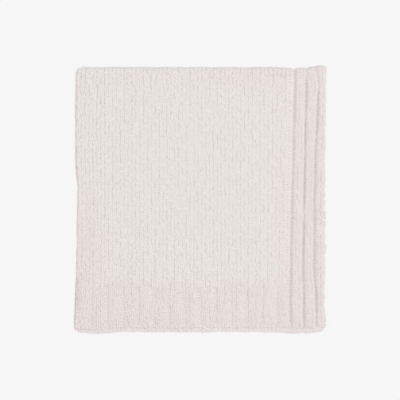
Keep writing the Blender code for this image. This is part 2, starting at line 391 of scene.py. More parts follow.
def press(x, y, z):
    """Heights once the top layer's crease and hem are pressed, and the underside rests."""
    from_hem = y - HEM_EDGE_Y + read_table(HEM_LINE, "drop", x)
    sink = HEM_SINK * (1 - smooth(from_hem / HEM_SINK_REACH))
    past_hem = 1 - smooth(1 + from_hem / LIP_RISE_REACH)
    under_hem = 1 - smooth((from_hem + LIP_TUCK) / LIP_RISE_REACH)
    below = 1 - smooth((z / HALF_STACK - TOP_LAYER_START) / TOP_LAYER_BLEND)
    lip = LIP_RISE * np.maximum(past_hem, under_hem * below)
    top_pair = smooth((z / HALF_STACK - TOP_PAIR_START) / TOP_PAIR_BLEND)
    to_left = 1 - smooth((x + RIGHT_X) / LEFT_SAG_REACH)
    left_sag = LEFT_SAG * to_left * np.exp(-(((y - LEFT_SAG_Y) / LEFT_SAG_LENGTH) ** 2))
    top_moves = (crease_depth(x, y) + sink - lip) * top_pair
    pressed = (z - top_moves) * (1 - left_sag / (2 * HALF_STACK))
    flattened = UNDERSIDE_SOFT * np.exp(np.minimum(pressed / UNDERSIDE_SOFT - 1, 0.0))
    return np.where(pressed < UNDERSIDE_SOFT, flattened, pressed)


rested = press(np.zeros(3), np.zeros(3), np.array([-0.5, 0.0, 0.5]) * MM)
print("heights of -0.5, 0 and 0.5 mm come to rest at, in mm:", rested / MM)


# %% Fold, settle and press in one step
def lay_cloth(across, along, lift):
    """Fold, settle and press points of the flat cloth. Returns them as rows of x, y, z."""
    x, y, z = settle(*fold(across, along, lift))
    return np.stack([x, y, press(x, y, z)], axis=-1)


near_corner = lay_cloth(np.zeros(1), np.zeros(1), np.zeros(1))[0]
print("near right corner of the top layer, in mm:", near_corner / MM)

# %% [markdown]
# ## Wales and courses
#
# The rib has three raised wales and a sunk one, so each groove is a single wale that the
# knitter worked as purl. Down the side border it is sunk all the way, and pinched narrow
# between its plumper neighbours. In the hems it is sunk only for the hem's depth, and then
# the same wale goes on as plain knit.
#
# Round a fold the outside of the cloth is longer than its middle, so the wales and courses
# are drawn closer together there and open out again once they are folded.

# %% Places of the wales, counted from a side edge
Wale = namedtuple("Wale", "place pitch from_groove")
EDGE_WALES = 2
TURN_WALES = 3
PINCHED_WALE = 0.58
FAR_FROM_GROOVE = 2


def rib_wales(low, high):
    """The three wales between two grooves and the sunk wale at low, pinched in the border."""
    even = (high - low) / WALES_PER_RIB
    sunk = even * PINCHED_WALE if low in BORDER_GROOVE_X else even
    wide = (high - low - sunk) / (WALES_PER_RIB - 1)
    places = [high - sunk / 2 - (i - 0.5) * wide for i in (1, 2, 3)]
    raised = [Wale(place, wide, min(i, WALES_PER_RIB - i)) for i, place in zip((1, 2, 3), places)]
    return [*raised, Wale(low, sunk, 0)]


def half_the_wales():
    """Wales from a side edge to the turn. from_groove counts wales to the nearest groove."""
    grooves = [FIRST_GROOVE_X + i * HEM_GROOVE_PITCH for i in range(HEM_GROOVES)]
    grooves += BORDER_GROOVE_X
    edge_pitch = (RIGHT_X - grooves[-1]) / (EDGE_WALES + PINCHED_WALE / 2)
    left_pitch = HEM_GROOVE_PITCH / WALES_PER_RIB
    wales = [Wale(RIGHT_X - (i + 0.5) * edge_pitch, edge_pitch, EDGE_WALES - i) for i in (0, 1)]
    wales.append(Wale(grooves[-1], edge_pitch * PINCHED_WALE, 0))
    for low, high in zip(grooves[-2::-1], grooves[:0:-1]):
        wales += rib_wales(low, high)
    wales += [Wale(grooves[0] - i * left_pitch, left_pitch, i) for i in (1, 2, 3)]
    return [wale._replace(place=RIGHT_X - wale.place) for wale in wales]


print("wales in a hem rib, with its groove:", len(rib_wales(0.0, HEM_GROOVE_PITCH)))

# %% Join the two halves with the wales round the left fold
half = half_the_wales()
turn_pitch = half[-1].pitch * SIDE_TURN_RADIUS / (SIDE_TURN_RADIUS + HALF_THICKNESS)
middle = [
    Wale(CLOTH_WIDTH / 2 + (i - TURN_WALES // 2) * turn_pitch, turn_pitch, FAR_FROM_GROOVE)
    for i in range(TURN_WALES)
]
wales = half + middle + [wale._replace(place=CLOTH_WIDTH - wale.place) for wale in half[::-1]]
wale_place, wale_pitch, wale_from_groove = np.array(wales).T
print("wales in the whole cloth:", len(wales))


# %% Places of the courses, counted from a hem
FIRST_COURSE = 0.95


def course_rows():
    """Place and pitch of every course, closer together where the cloth turns over."""
    length = flat_length(OUTER_LAYER)
    turn = math.pi * OUTER_LAYER
    flat_count = round(length / COURSE_PITCH)
    turn_count = round(math.pi * HALF_STACK / COURSE_PITCH)
    flat_pitch, turn_pitch = length / (flat_count + FIRST_COURSE - 0.5), turn / turn_count
    first = [((i + FIRST_COURSE) * flat_pitch, flat_pitch) for i in range(flat_count)]
    turned = [(length + (i + 0.5) * turn_pitch, turn_pitch) for i in range(turn_count)]
    return first + turned + [(CLOTH_LENGTH - place, pitch) for place, pitch in first[::-1]]


course_place, course_pitch = np.array(course_rows()).T
print("courses with the turn:", len(course_place))

# %% [markdown]
# ## Unevenness
#
# Machine knitting is regular, but washing, folding and hands are not. A smooth random field,
# made of a few long waves in seeded directions, gives slow changes: a groove that is deep
# here and shallow there, a wale that stands a little proud for a hand's breadth. A drift
# gives the distances over which such a field changes, and its seed.

# %% A smooth random field
Drift = namedtuple("Drift", "across along seed")
WAVES = 14


def wander(across, along, drift):
    """Smooth random values, about 1 in size, that change over the drift's distances."""
    rng = np.random.default_rng(drift.seed)
    total = np.zeros_like(across)
    for _ in range(WAVES):
        way, start = rng.uniform(0.0, math.tau, 2)
        turns = math.cos(way) * across / drift.across + math.sin(way) * along / drift.along
        total += np.sin(math.tau * turns + start)
    return total * math.sqrt(2 / WAVES)


GROOVE_DRIFT = Drift(24 * MM, 42 * MM, 31)
groove_changes = wander(np.full(5, 0.1), np.linspace(0.1, 0.3, 5), GROOVE_DRIFT)
print("drift at five places along a groove:", groove_changes)

# %% [markdown]
# ## How far the ribs stand up
#
# The same relief shapes the sheet of cloth and sets the height of the stitches on it. A
# rib's middle stands proudest, its sides round off, and the purl wale lies deep in the
# groove. The border's grooves are deeper and narrower than the hem's, and fade towards the
# top fold, where the bend pulls them open. The field dips a little towards the first one.

# %% Where the hems and the borders are
HEM_FADE = 10 * MM
BORDER_WIDTH = RIGHT_X - BORDER_GROOVE_X[0]
BORDER_MARGIN = 2 * MM
BORDER_BLEND = 5 * MM
BORDER_FADE = 46 * MM
BORDER_SHARE_AT_FOLD = 0.3


def hem_share(along):
    """1 inside a hem, 0 in the field."""
    from_hem = np.minimum(along, CLOTH_LENGTH - along)
    return 1 - smooth((from_hem - (HEM_DEPTH - HEM_FADE)) / HEM_FADE)


def border_share(across, along):
    """How much of the border's relief there is: 0 in the field, less near the fold."""
    from_side = np.minimum(across, CLOTH_WIDTH - across)
    to_fold = np.abs(along - CLOTH_LENGTH / 2) - math.pi * OUTER_LAYER / 2
    held = 1 - (1 - BORDER_SHARE_AT_FOLD) * (1 - smooth(to_fold / BORDER_FADE))
    return held * (1 - smooth((from_side - BORDER_WIDTH - BORDER_MARGIN) / BORDER_BLEND))


print("border's width in mm:", round(BORDER_WIDTH / MM, 1))

# %% Relief of the ribs
Rib = namedtuple("Rib", "crown depth groove_width")
HEM_RIB = Rib(0.35 * MM, 0.95 * MM, 1.0)
BORDER_RIB = Rib(0.8 * MM, 3.2 * MM, 0.46)
GROOVE_CHANGE = 0.4
LOWEST_GROOVE = -3.1 * MM
BORDER_SLOPE = 0.9 * MM
BORDER_SLOPE_REACH = 7 * MM


def rib_height(rib, from_groove):
    """Height of a rib's rounded top and of its groove, by wales from the groove's middle."""
    groove = rib.depth * np.exp(-((from_groove / rib.groove_width) ** 2))
    return rib.crown * smooth(from_groove / FAR_FROM_GROOVE) - groove


def relief(across, along):
    """Height of the ribs above the plain knit."""
    from_groove = np.interp(across, wale_place, wale_from_groove)
    uneven = 1 + GROOVE_CHANGE * wander(across, along, GROOVE_DRIFT)
    in_border = border_share(across, along)
    hem = rib_height(HEM_RIB, from_groove) * hem_share(along) * (1 - np.sign(in_border))
    past_border = np.minimum(across, CLOTH_WIDTH - across) - BORDER_WIDTH
    slope = BORDER_SLOPE * np.exp(-((past_border / BORDER_SLOPE_REACH) ** 2)) * (past_border > 0)
    ribs = (hem + rib_height(BORDER_RIB, from_groove) * in_border - slope) * uneven
    return np.maximum(ribs, LOWEST_GROOVE)


groove_and_rib = RIGHT_X - np.array([BORDER_GROOVE_X[1], np.mean(BORDER_GROOVE_X[:2])])
half_way = np.full(2, CLOTH_LENGTH / 4)
print("relief in a border groove and on its rib, in mm:", relief(groove_and_rib, half_way) / MM)

# %% [markdown]
# ## Where the colour changes
#
# The ribs of hem and border are a warmer, slightly darker off-white. A band along the two
# folds gets that warmer, darker colour too: painted shade where the light falls off towards
# the folds, together with the warmer tint there. The bottoms of the grooves get painted
# shade, a darker colour still. All are worked out here as shares, stored on the points of
# each mesh, and read by the material.

# %% Shade in the grooves
# Painted shade in the grooves: its width in wales, and its share in the hems.
GROOVE_SHADE_WIDTH = 0.28
HEM_GROOVE_SHADE = 0.22


def groove_shade(across, along):
    """Share of painted shade in a groove, a darker colour where shade falls: up to 1 in the
    border.
    """
    from_groove = np.interp(across, wale_place, wale_from_groove)
    in_groove = np.exp(-((from_groove / GROOVE_SHADE_WIDTH) ** 2)) * (across < CLOTH_WIDTH / 2)
    return in_groove * np.maximum(border_share(across, along), HEM_GROOVE_SHADE * hem_share(along))


print("shade in a border groove and on its rib:", groove_shade(groove_and_rib, half_way))

# %% Warmth of the ribs, and painted shade along the folds
Band = namedtuple("Band", "start fade")
BORDER_BAND = Band(42 * MM, 36 * MM)
HEM_BAND = Band(58 * MM, 24 * MM)
# Bands of painted shade along the left and the top fold.
LEFT_FOLD_SHADE_BAND = Band(16 * MM, 36 * MM)
TOP_FOLD_SHADE_BAND = Band(14 * MM, 34 * MM)
LEFT_FOLD_NEAR_HEM = Band(110 * MM, 110 * MM)
TOP_FOLD_NEAR_SIDE = Band(90 * MM, 110 * MM)
HEM_WARMTH = 0.9
FOLD_LOSS = 0.85


def within(distance, band):
    """1 up to the band's start, easing to 0 over its fade."""
    return 1 - smooth((distance - band.start) / band.fade)


def rib_warmth_and_fold_shade(across, along):
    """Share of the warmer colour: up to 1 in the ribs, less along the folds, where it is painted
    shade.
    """
    from_side = np.minimum(across, CLOTH_WIDTH - across)
    from_hem = np.minimum(along, CLOTH_LENGTH - along)
    # Painted shade along the left fold, strongest near the hem, and along the top fold, strongest
    # near the sides.
    to_left = within(np.abs(across - CLOTH_WIDTH / 2), LEFT_FOLD_SHADE_BAND)
    to_left = to_left * (1 - FOLD_LOSS * (1 - within(from_hem, LEFT_FOLD_NEAR_HEM)))
    to_top = within(np.abs(along - CLOTH_LENGTH / 2), TOP_FOLD_SHADE_BAND)
    to_top = to_top * (1 - FOLD_LOSS * (1 - within(from_side, TOP_FOLD_NEAR_SIDE)))
    ribbed = np.maximum(within(from_side, BORDER_BAND), HEM_WARMTH * within(from_hem, HEM_BAND))
    return np.maximum(ribbed, np.maximum(to_left, to_top))


hem_to_field = rib_warmth_and_fold_shade(np.full(3, 0.2), np.array([0.03, 0.07, 0.2]))
print("warmth in the hem, at its fade and in the field:", hem_to_field)

# %% [markdown]
# ## Turning arrays into a mesh
#
# Thousands of stitches are one mesh here, made from arrays of points and of four-sided
# faces. That is far quicker than adding an object for each stitch, and it exports as one
# plain mesh. Each mesh also gets a map for textures, so that its colours can be baked.

# %% A helper that makes a mesh piece
Patch = namedtuple("Patch", "points quads tint map")


def add_piece(name, patch):
    """Add a smooth mesh object. tint, the rib warmth and painted shade, is stored on its points
    for the material.
    """
    mesh = bpy.data.meshes.new(name)
    mesh.vertices.add(len(patch.points))
    mesh.vertices.foreach_set("co", patch.points.astype(np.float32).ravel())
    mesh.loops.add(4 * len(patch.quads))
    mesh.loops.foreach_set("vertex_index", patch.quads.astype(np.int32).ravel())
    mesh.polygons.add(len(patch.quads))
    mesh.polygons.foreach_set("loop_start", np.arange(0, 4 * len(patch.quads), 4, dtype=np.int32))
    mesh.update(calc_edges=True)
    mesh.shade_smooth()
    tint = mesh.attributes.new("rib_warmth_and_shade", "FLOAT", "POINT")
    tint.data.foreach_set("value", patch.tint.astype(np.float32).ravel())
    texture_map = mesh.uv_layers.new(name="OFBake")
    texture_map.uv.foreach_set("vector", patch.map.astype(np.float32).ravel())
    piece = bpy.data.objects.new(name, mesh)
    bpy.context.scene.collection.objects.link(piece)
    print(name, "triangles:", 2 * len(patch.quads))
    return piece


# %% [markdown]
# ## The sheet of cloth
#
# Under the stitches lies the body of the cloth: a closed sheet, about 3 mm thick, that fills
# the gaps between the yarns and shows as their dark hollows. Its grid has two columns to a
# wale, and more where the cloth turns. The rows are closer together in the turns, in the
# crease, at the lip and where the hem's ribs fade out. The sheet dips between two wales,
# because the hollow there is deeper than the one down the middle of a wale. It thins towards
# its edges, and stops a millimetre short of the sides, so the edge's loops stand clear.

# %% Columns and rows of the sheet
SHEET_INSET = 1.0 * MM
EDGE_ROUNDING = 3.2 * MM
EDGE_STEPS = np.array([0, 0.3, 1]) * EDGE_ROUNDING
TURN_COLUMNS = 11
ROW_STEP = 9 * MM
TURN_ROW_STEP = 1.8 * MM
TURN_ROW_LEAD = 4 * MM
CREASE_ROW_STEP = 2.2 * MM
CREASE_ROWS = 5
LIP_ROWS = 2
FADE_ROWS = 5
LEAST_STEP = 0.25 * MM


def spaced(places):
    """Sorted places without those closer together than the least step."""
    places = np.sort(places)
    return places[np.append(True, np.diff(places) > LEAST_STEP)]


def sheet_columns():
    """Places across the cloth for the sheet's grid."""
    between = (wale_place[1:] + wale_place[:-1]) / 2
    turn = FLAT_WIDTH + SIDE_TURN_LENGTH * np.linspace(0, 1, TURN_COLUMNS)
    edge = SHEET_INSET + EDGE_STEPS
    return spaced(np.concatenate([wale_place, between, turn, edge, CLOTH_WIDTH - edge]))


def sheet_rows():
    """Places along the cloth for the sheet's grid."""
    turn_start = flat_length(OUTER_LAYER) - TURN_ROW_LEAD
    flat = np.linspace(2 * EDGE_ROUNDING, turn_start, round(turn_start / ROW_STEP))
    turn = np.arange(turn_start, CLOTH_LENGTH / 2, TURN_ROW_STEP)[1:]
    crease = CREASE_Y - TURN_Y + flat_length(OUTER_LAYER)
    crease = crease + CREASE_ROW_STEP * np.arange(-CREASE_ROWS, CREASE_ROWS + 1)
    lip = LIP_LENGTH - LIP_RISE_REACH * np.arange(LIP_ROWS)
    fade = np.linspace(HEM_DEPTH - HEM_FADE, HEM_DEPTH, FADE_ROWS)
    first_half = np.concatenate([EDGE_STEPS, lip, fade, flat, turn])
    return spaced(np.concatenate([first_half, crease, CLOTH_LENGTH - first_half]))


print("columns and rows of the sheet:", len(sheet_columns()), len(sheet_rows()))

# %% Thickness of the sheet
SHEET_TOP = 1.0 * MM
SHEET_BACK = -1.85 * MM
SHEET_LEAST = 0.6 * MM
BETWEEN_WALES = 0.1 * MM
DIP_REACH = 2 * MM
EDGE_TIP_SHARE = 0.25


def rounded(distance):
    """Share of the cloth's thickness left at a distance inside its rounded edge."""
    outside = 1 - np.minimum(distance / EDGE_ROUNDING, 1.0)
    return np.maximum(EDGE_TIP_SHARE, np.sqrt(1 - outside ** 2))


def sheet_grid():
    """Across, along and share of the thickness at the sheet's grid points."""
    across, along = np.meshgrid(sheet_columns(), sheet_rows(), indexing="ij")
    to_side = rounded(np.minimum(across, CLOTH_WIDTH - across) - SHEET_INSET)
    to_hem = rounded(np.minimum(along, CLOTH_LENGTH - along))
    return across, along, np.minimum(to_side, to_hem)


def sheet_lifts(across, along):
    """Lift of the sheet's upper and lower face."""
    wales_off = np.abs(across[:, None] - wale_place[None]).min(axis=1)
    dip = BETWEEN_WALES * np.minimum(wales_off / DIP_REACH, 1.0)
    upper = SHEET_TOP - dip + relief(across, along)
    return upper, np.minimum(SHEET_BACK, upper - SHEET_LEAST)


in_field = np.ravel(sheet_lifts(np.array([0.2]), np.array([0.2])))
print("lift of the sheet's two faces in the field, in mm:", in_field / MM)

# %% Join the sheet's two faces
MAP_MARGIN = 0.01


def sheet_map(across, along):
    """Texture map of one face of the sheet, a tall half of the picture."""
    over = MAP_MARGIN + across / CLOTH_WIDTH * (0.5 - 2 * MAP_MARGIN)
    up = MAP_MARGIN + along / CLOTH_LENGTH * (1 - 2 * MAP_MARGIN)
    return np.stack([over, up], axis=-1)


def build_sheet():
    """Two grids, one for each face of the cloth, joined round their rim."""
    across, along, share = (grid.ravel() for grid in sheet_grid())
    upper, lower = sheet_lifts(across, along)
    top = lay_cloth(across, along, upper * share)
    back = lay_cloth(across, along, lower * share)
    index = np.arange(across.size).reshape(len(sheet_columns()), -1)
    grid = np.stack([index[:-1, :-1], index[:-1, 1:], index[1:, 1:], index[1:, :-1]], axis=-1)
    grid = grid.reshape(-1, 4)
    sides = (index[0], index[:, -1], index[-1, ::-1], index[::-1, 0])
    outward = ((-1, 0), (0, 1), (1, 0), (0, -1))
    walls, wall_maps = [], []
    face_map = sheet_map(across, along)
    for side, way in zip(sides, outward):
        low, high = side[:-1], side[1:]
        walls.append(np.stack([low, low + across.size, high + across.size, high], axis=-1))
        margin = np.array(way) * MAP_MARGIN / 2
        corners = (face_map[low], face_map[low] + margin, face_map[high] + margin, face_map[high])
        wall_maps.append(np.stack(corners, axis=1))
    quads = np.concatenate([grid, grid[:, ::-1] + across.size, *walls])
    back_map = face_map[grid[:, ::-1]] + np.array([0.5, 0.0])
    texture_map = np.concatenate([face_map[grid], back_map, *wall_maps])
    # Rib warmth and painted shade: the grooves' painted shade goes on the sheet in full.
    tint = np.tile(rib_warmth_and_fold_shade(across, along) + groove_shade(across, along), 2)
    return Patch(np.concatenate([top, back]), quads, tint, texture_map)


cloth_sheet = add_piece("cloth_sheet", build_sheet())

# %% [markdown]
# ## The shape of one stitch
#
# On its right side a knit stitch shows two plump legs that lean apart, a V. On this scale a
# leg is a soft spindle, half sunk in the cloth. A purl stitch shows a short bar across the
# wale, and the bars of a border's groove are slim and tall, so the groove looks like a string
# of beads. Each shape is drawn once, in a cell one wale wide and one course high, and then
# repeated. The legs sit close to the wale's middle, because the hollow between two wales is
# the deeper one. Their undersides curve in and their tips dip, so no dark gap shows below.

# %% Draw a spindle of yarn
Shape = namedtuple("Shape", "across along height quads map")
UNDERCUT = math.radians(32)
TIP_DIP = 0.19
TIP_GIRTH = 0.06


def spindle(rings, sides, half_length, half_width, tilt, centre=0.0, full=False):
    """A spindle in the stitch's cell, open below unless full. tilt is in degrees."""
    start, stop = (0.0, math.tau) if full else (-UNDERCUT, math.pi + UNDERCUT)
    place = np.linspace(-1, 1, rings)[:, None]
    angle = np.linspace(start, stop, sides + 1)[None]
    girth = np.sqrt(np.maximum(1 - place ** 2, 0.0)) * (1 - TIP_GIRTH) + TIP_GIRTH
    sideways = -np.cos(angle) * girth * half_width
    forwards = place * half_length + 0 * sideways
    height = np.sin(angle) * girth - TIP_DIP * place ** 2
    lean = math.radians(tilt)
    across = centre + sideways * math.cos(lean) + forwards * math.sin(lean)
    along = forwards * math.cos(lean) - sideways * math.sin(lean)
    index = np.arange(rings * (sides + 1)).reshape(rings, sides + 1)
    quads = np.stack([index[:-1, :-1], index[1:, :-1], index[1:, 1:], index[:-1, 1:]], axis=-1)
    over = np.linspace(0, 1, rings)[:, None] + 0 * sideways
    up = np.linspace(0, 1, sides + 1)[None] + 0 * sideways
    texture_map = np.stack([over, up], axis=-1).reshape(-1, 2)
    return Shape(across.ravel(), along.ravel(), height.ravel(), quads.reshape(-1, 4), texture_map)


print("faces of a leg:", len(spindle(6, 4, 1, 1, 0).quads))

# %% Draw the knit and the purl stitch
LEG_HALF_LENGTH, LEG_HALF_WIDTH = 0.95, 0.36
LEG_LEAN = 10
LEGS_APART, HEM_LEGS_APART = 0.21, 0.25
BAR_HALF_LENGTH = 0.68
ACROSS_THE_WALE = 90


def knit_stitch(rings, sides, apart=LEGS_APART):
    """The two legs of a knit stitch, leaning apart away from the hem."""
    left, right = (
        spindle(rings, sides, LEG_HALF_LENGTH, LEG_HALF_WIDTH, LEG_LEAN * way, apart * way)
        for way in (-1, 1)
    )
    half_map = np.array([0.5, 1.0])
    texture_map = np.concatenate([left.map * half_map, right.map * half_map + (0.5, 0.0)])
    quads = np.concatenate([left.quads, right.quads + len(left.across)])
    joined = [np.concatenate(pair) for pair in zip(left[:3], right[:3])]
    return Shape(*joined, quads, texture_map)


def purl_bar(rings, sides, half_width, plumpness):
    """The bar of a purl stitch, lying across its wale."""
    bar = spindle(rings, sides, BAR_HALF_LENGTH, half_width, ACROSS_THE_WALE)
    return bar._replace(height=bar.height * plumpness)


print("points in a knit stitch:", len(knit_stitch(6, 4).across))

# %% [markdown]
# ## Repeating the stitch
#
# Each stitch gets its own small differences: hand, yarn and washing leave none quite like
# its neighbour. The yarn's pile also breaks up the outline of every leg, so each point is
# nudged by a tenth of a millimetre. The random numbers are seeded, so each run gives the
# same cloth.

# %% Repeat a shape as one patch
CELL_MARGIN = 0.06


def island_map(shape, count):
    """Texture map that gives each repeat of a shape a cell of its own in the picture."""
    cells = math.ceil(math.sqrt(count))
    number = np.arange(count)
    corner = np.stack([number % cells, number // cells], axis=-1)[:, None]
    inset = CELL_MARGIN + (1 - 2 * CELL_MARGIN) * shape.map[None]
    return ((corner + inset) / cells).reshape(-1, 2)


def repeat_shape(shape, across, along, lift, tint, flipped=False):
    """One patch of all the repeats, whose points are rows of across, along and lift."""
    count, size = across.shape
    starts = (np.arange(count) * size)[:, None, None]
    quads = (shape.quads[None] + starts).reshape(-1, 4)
    if flipped:
        quads = quads[:, ::-1]
    points = lay_cloth(across.ravel(), along.ravel(), lift.ravel())
    return Patch(points, quads, tint.ravel(), island_map(shape, count)[quads])


print("map points of four stitches:", len(island_map(knit_stitch(4, 3), 4)))

# %% Spread a stitch over the cloth
LEG_HEIGHT = 0.94 * MM
STITCH_FLOOR, BACK_FLOOR = 1.0 * MM, 1.75 * MM
PILE_NUDGE = 0.10 * MM
WALE_SHIFT, SHIFT_DRIFT = 0.35 * MM, Drift(14 * MM, 35 * MM, 32)
PATCH_LEVEL = 0.11 * MM
WALE_DRIFT, PATCH_DRIFT = Drift(5 * MM, 45 * MM, 33), Drift(16 * MM, 16 * MM, 34)
PLUMP_CHANGE, PLUMP_DRIFT = 0.2, Drift(45 * MM, 45 * MM, 35)
BAR_SHADE = 0.15
# How much one stitch differs from the next, as shares of its cell and of its height.
WIDTH_CHANGE, SIDE_SHIFT, SKEW = 0.06, 0.07, 0.06
LENGTH_CHANGE, FORWARD_SHIFT = 0.05, 0.13
HEIGHT_CHANGE, LEVEL_SHIFT = 0.12, 0.11
Place = namedtuple("Place", "across wide along high")


def spread_stitches(name, shape, places, seed, facing=1):
    """Repeat a stitch at every place. facing -1 puts it on the back of the cloth."""
    rng = np.random.default_rng(seed)
    count = len(places.across)

    def vary(amount):
        return rng.normal(0.0, amount, (count, 1))

    sideways = shape.across[None] * (1 + vary(WIDTH_CHANGE)) + vary(SIDE_SHIFT)
    sideways = sideways + shape.along[None] * vary(SKEW)
    forwards = shape.along[None] * (1 + vary(LENGTH_CHANGE)) + vary(FORWARD_SHIFT)
    shift = WALE_SHIFT * wander(places.across, places.along, SHIFT_DRIFT)
    across = (places.across + shift)[:, None] + sideways * places.wide[:, None]
    along = places.along[:, None] + forwards * places.high[:, None]
    level = wander(places.across, places.along, WALE_DRIFT)
    level = level + wander(places.across, places.along, PATCH_DRIFT)
    ground = PATCH_LEVEL * level[:, None] + (STITCH_FLOOR if facing > 0 else BACK_FLOOR)
    if facing > 0:
        ground = ground + relief(across, along)
    plump = 1 + PLUMP_CHANGE * wander(places.across, places.along, PLUMP_DRIFT)[:, None]
    height = shape.height[None] * (plump + vary(HEIGHT_CHANGE)) + vary(LEVEL_SHIFT)
    lift = ground + height * LEG_HEIGHT
    lift = lift + rng.normal(0.0, PILE_NUDGE, lift.shape)
    across = across + rng.normal(0.0, PILE_NUDGE, lift.shape)
    # Rib warmth and painted shade: the bars get only a little of the grooves' painted shade.
    tint = rib_warmth_and_fold_shade(across, along) + BAR_SHADE * groove_shade(across, along)
    patch = repeat_shape(shape, across, along, facing * lift, tint, facing < 0)
    return add_piece(name, patch)


# %% [markdown]
# ## Sorting the stitches into pieces
#
# The stitches go into pieces by where they lie, so that no piece grows too large: the left
# and right of the field, the hem, the border, the fold at the back and the underside. The
# underside hardly shows, so its stitches have fewer faces. On the layers between, only the
# last courses before the hem come into view, and they show their purl side.
#
# The sunk wales are the grooves, and one more beside the border's first groove: there the
# knitter purls a wale to set off the ribs, and its bars show as a small ladder.

# %% Choose the stitches of each region
TURN_OVERLAP = 7 * MM
FIELD_SPLIT_X = -30 * MM
RIB_REACH, LADDER_REACH = 3 * MM, 7 * MM
LIP_COURSES = 2
wale_number, course_number = np.meshgrid(
    np.arange(len(wale_place)), np.arange(len(course_place)), indexing="ij"
)
wale_number, course_number = wale_number.ravel(), course_number.ravel()
cell_across, cell_along = wale_place[wale_number], course_place[course_number]
outside = cell_across < FLAT_WIDTH + SIDE_TURN_LENGTH + TURN_OVERLAP
top_side = cell_along < CLOTH_LENGTH / 2 - math.pi * OUTER_LAYER / 2
under_side = cell_along > CLOTH_LENGTH / 2 + math.pi * OUTER_LAYER / 2
in_hem = hem_share(cell_along) > 0.5
in_border = cell_across < BORDER_WIDTH + RIB_REACH
past_border = cell_across - BORDER_WIDTH
beside_border = (past_border > RIB_REACH) & (past_border < LADDER_REACH)
in_groove = (wale_from_groove[wale_number] == 0) & (in_hem | in_border)
sunk = in_groove | (beside_border & ~in_hem)
left_half = cell_across > RIGHT_X - FIELD_SPLIT_X
from_hem_course = np.minimum(course_number, len(course_place) - 1 - course_number)
lip = (cell_across > FLAT_WIDTH + SIDE_TURN_LENGTH) & (from_hem_course < LIP_COURSES)
print("stitches on the outer layers:", outside.sum(), "of which sunk:", (outside & sunk).sum())


# %% Knit every region
def pick(chosen):
    """Places of the chosen stitches."""
    wide, high = wale_pitch[wale_number[chosen]], course_pitch[course_number[chosen]]
    return Place(cell_across[chosen], wide, cell_along[chosen], high)


HEM_FLATNESS = 0.75
fine, even = knit_stitch(6, 4), knit_stitch(6, 4, apart=HEM_LEGS_APART)
even = even._replace(height=even.height * HEM_FLATNESS)
coarse = knit_stitch(4, 3)
bar = purl_bar(5, 3, half_width=0.38, plumpness=0.75)
deep_bar = purl_bar(5, 4, half_width=0.30, plumpness=1.4)
field = top_side & ~in_hem & ~in_border
raised = outside & ~sunk
Region = namedtuple("Region", "name shape chosen facing")
REGIONS = (
    Region("stitches_field_left", fine, raised & field & left_half, 1),
    Region("stitches_field_right", fine, raised & field & ~left_half, 1),
    Region("stitches_hem", even, raised & top_side & in_hem & ~in_border, 1),
    Region("stitches_border", fine, raised & top_side & in_border, 1),
    Region("stitches_fold", fine, raised & ~top_side & ~under_side, 1),
    Region("stitches_under_left", coarse, raised & under_side & left_half, 1),
    Region("stitches_under_right", coarse, raised & under_side & ~left_half, 1),
    Region("purl_hem", bar, outside & sunk & in_hem & ~in_border, 1),
    Region("purl_lip", bar, lip, -1),
    Region("purl_border", deep_bar, outside & sunk & (in_border | ~in_hem), 1),
)
stitch_pieces = []
for seed, region in enumerate(REGIONS):
    places = pick(region.chosen)
    stitch_pieces.append(spread_stitches(region.name, region.shape, places, seed, region.facing))

# %% [markdown]
# ## The edges of the cloth
#
# A knitted edge is a chain of plump loops. It runs along both hems, where the last course is
# cast off, and up both sides, where each course turns back. Every loop is a full spindle as
# thick as the cloth, lying along the edge, so the outline is softly bumpy.

# %% Draw one chain of loops
EDGE_HALF_WIDTH = 1.5 * MM
EDGE_HALF_HEIGHT = 2.0 * MM
LOOP_LENGTH_CHANGE, LOOP_WIDTH_CHANGE, LOOP_HEIGHT_CHANGE = 0.06, 0.08, 0.06


def edge_chain(name, across, along, step, over_the_wales, seed):
    """Full spindles along an edge of the cloth, one for each stitch there."""
    rng = np.random.default_rng(seed)
    shape = spindle(5, 8, half_length=0.75, half_width=1.0, tilt=0, full=True)

    def vary(amount):
        return 1 + rng.normal(0.0, amount, (len(across), 1))

    length = shape.along[None] * step[:, None] * vary(LOOP_LENGTH_CHANGE)
    width = shape.across[None] * EDGE_HALF_WIDTH * vary(LOOP_WIDTH_CHANGE)
    width = width + rng.normal(0.0, PILE_NUDGE, width.shape)
    lift = shape.height[None] * EDGE_HALF_HEIGHT * vary(LOOP_HEIGHT_CHANGE)
    over, up = (length, -width) if over_the_wales else (width, length)
    across, along = across[:, None] + over, along[:, None] + up
    return add_piece(name, repeat_shape(shape, across, along, lift, np.ones(across.shape)))


print("loops along a hem and up a side:", len(wale_place), len(course_place))

# %% Chain the loops round the four edges
HEM_INSET = 0.6 * MM
SIDE_INSET = 1.6 * MM
EDGE_WANDER = 0.3 * MM
HEM_EDGE_DRIFT, SIDE_EDGE_DRIFT = Drift(14 * MM, 18 * MM, 36), Drift(14 * MM, 18 * MM, 37)


def hem_edge(name, along, seed):
    """The chain along one hem."""
    places = np.full_like(wale_place, along)
    places = places + EDGE_WANDER * wander(wale_place, places, HEM_EDGE_DRIFT)
    return edge_chain(name, wale_place, places, wale_pitch, True, seed)


def side_edge(name, across, seed):
    """The chain up one side."""
    places = np.full_like(course_place, across)
    places = places + EDGE_WANDER * wander(places, course_place, SIDE_EDGE_DRIFT)
    return edge_chain(name, places, course_place, course_pitch, False, seed)


edge_pieces = [
    hem_edge("edge_hem_top", HEM_INSET, 21),
    hem_edge("edge_hem_under", CLOTH_LENGTH - HEM_INSET, 22),
    side_edge("edge_side_outer", SIDE_INSET, 23),
    side_edge("edge_side_inner", CLOTH_WIDTH - SIDE_INSET, 24),
]

